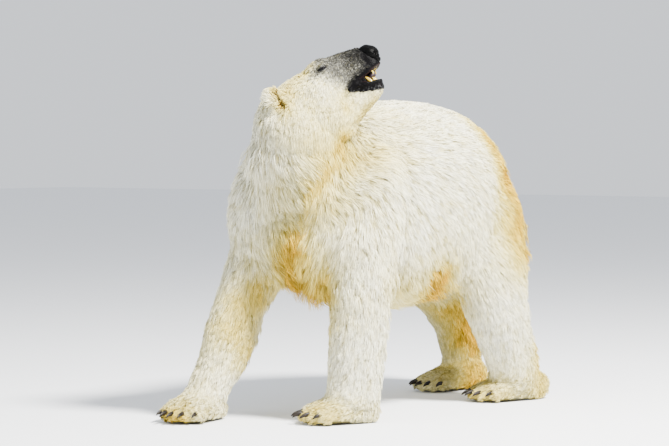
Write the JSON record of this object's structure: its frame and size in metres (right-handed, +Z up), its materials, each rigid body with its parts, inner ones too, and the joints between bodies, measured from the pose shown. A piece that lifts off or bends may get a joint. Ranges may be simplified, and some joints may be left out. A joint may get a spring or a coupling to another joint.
{
  "type": "polar bear",
  "caption": "Standing polar bear in a walking stance, with its head thrown up and turned back over its left shoulder and its mouth open.",
  "frame": {"origin": "on the floor, below the middle of the bear's extent", "axes": "+Z up, -Y the way the body faces, +X the bear's left side"},
  "size_m": [0.7468, 1.8282, 1.3479],
  "materials": {
    "coat": "long cream-white fur with golden stains",
    "dark_skin": "moist black skin",
    "eye": "wet, very dark brown",
    "claw": "worn black horn",
    "tongue": "moist, dark greyish pink"
  },
  "bodies": {
    "root": {"claw_fore_left_1": "claw", "claw_fore_left_2": "claw", "claw_fore_left_3": "claw", "claw_fore_left_4": "claw", "claw_fore_left_5": "claw", "claw_fore_right_1": "claw", "claw_fore_right_2": "claw", "claw_fore_right_3": "claw", "claw_fore_right_4": "claw", "claw_fore_right_5": "claw", "claw_hind_left_1": "claw", "claw_hind_left_2": "claw", "claw_hind_left_3": "claw", "claw_hind_left_4": "claw", "claw_hind_left_5": "claw", "claw_hind_right_1": "claw", "claw_hind_right_2": "claw", "claw_hind_right_3": "claw", "claw_hind_right_4": "claw", "claw_hind_right_5": "claw", "ear_left": "coat", "ear_right": "coat", "eye_left": "eye", "eye_right": "eye", "foreleg_lower_left": "coat", "foreleg_lower_right": "coat", "foreleg_upper_left": "coat", "foreleg_upper_right": "coat", "forepaw_left": "coat", "forepaw_right": "coat", "head": "coat", "hindleg_lower_left": "coat", "hindleg_lower_right": "coat", "hindleg_upper_left": "coat", "hindleg_upper_right": "coat", "hindpaw_left": "coat", "hindpaw_right": "coat", "lower_jaw": "coat", "neck": "coat", "nose": "dark_skin", "tail": "coat", "tongue": "tongue", "trunk": "coat"}
  },
  "joints": []
}
